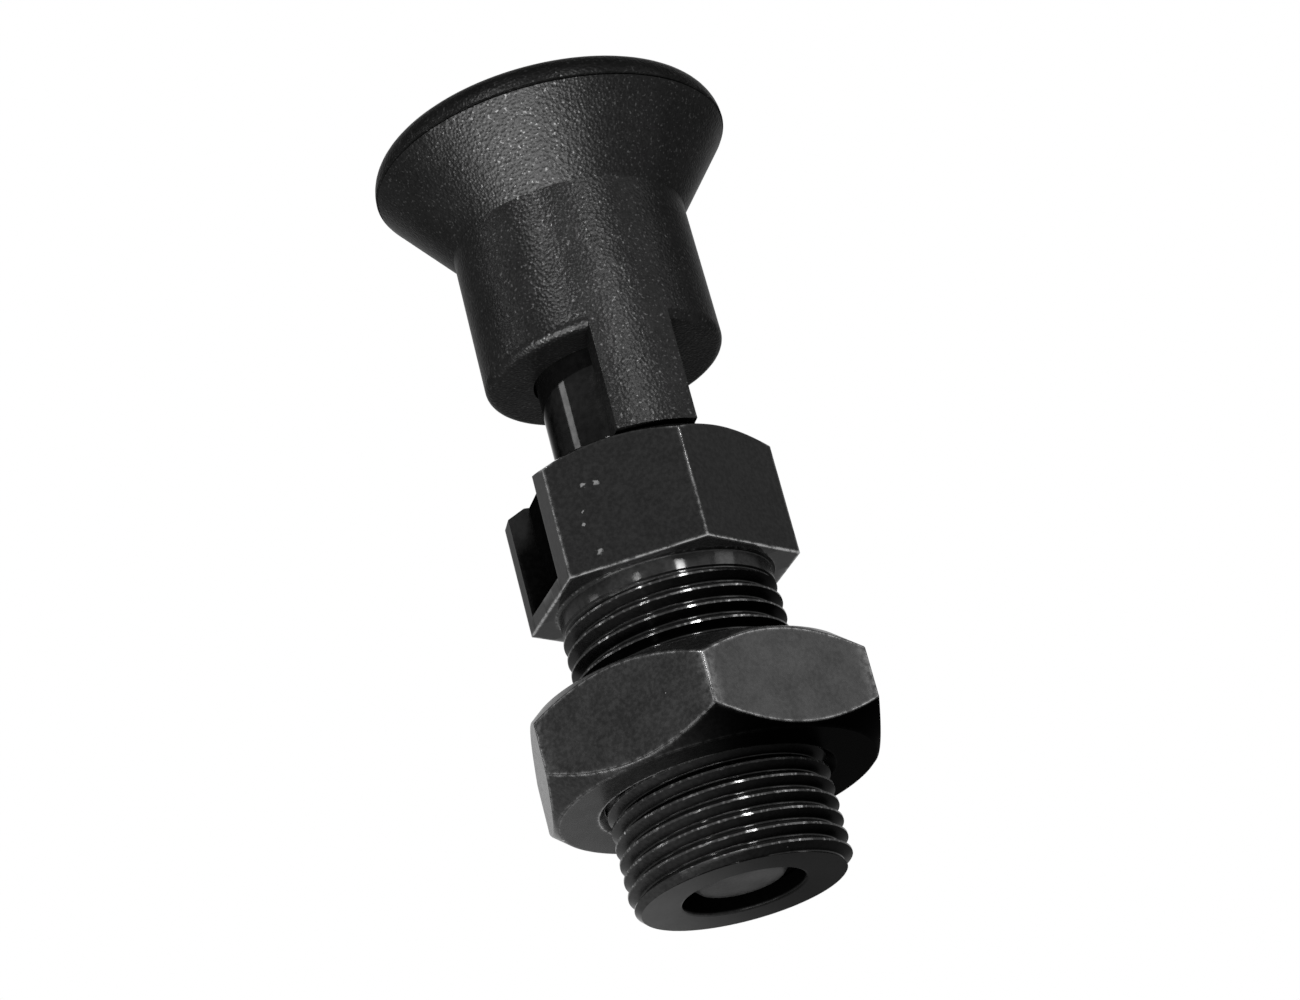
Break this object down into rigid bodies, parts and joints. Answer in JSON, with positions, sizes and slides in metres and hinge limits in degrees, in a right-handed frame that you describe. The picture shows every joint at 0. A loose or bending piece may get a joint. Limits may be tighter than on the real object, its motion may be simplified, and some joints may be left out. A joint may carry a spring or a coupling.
{
  "type": "indexing plunger",
  "caption": "Lockable indexing plunger: threaded steel body with slotted hexagon, lock nut, spring-loaded index pin and moulded mushroom knob with a locking lug.",
  "frame": {"origin": "centre of the threaded end's face, on the plunger's axis", "axes": "+Z along the axis towards the knob, -X through the middle of the slot in the hexagon"},
  "size_m": [0.0336, 0.0334, 0.0768],
  "materials": {
    "blackened_steel": "black oxide over turned and milled steel, bright where edges are worn",
    "nut_steel": "black oxide over rolled steel, satin",
    "polished_black_steel": "polished and blackened, glossy",
    "hardened_steel": "hardened and ground, dark",
    "spring_steel": "plain spring wire",
    "moulded_knob": "fine spark-eroded mould texture, matt black"
  },
  "bodies": {
    "body": {"threaded_body": "blackened_steel", "guide_sleeve": "polished_black_steel"},
    "lift": {"plunger_spring": "spring_steel"},
    "plunger": {"index_pin": "hardened_steel", "knob": "moulded_knob"},
    "nut": {"lock_nut": "nut_steel"}
  },
  "joints": [
    {"name": "knob_pull", "type": "slide", "parent": "body", "child": "lift", "axis": [0, 0, 1], "range_m": [0, 0.001], "stiffness_N_per_m": 1400, "springref_m": -0.0204, "deforming": ["plunger_spring"]},
    {"name": "knob_turn", "type": "hinge", "parent": "lift", "child": "plunger", "pos_m": [0, 0, 0.05], "axis": [0, 0, 1], "continuous": true},
    {"name": "nut_turn", "type": "hinge", "parent": "body", "child": "nut", "pos_m": [0, 0, 0.01415], "axis": [0, 0, 1], "continuous": true}
  ]
}
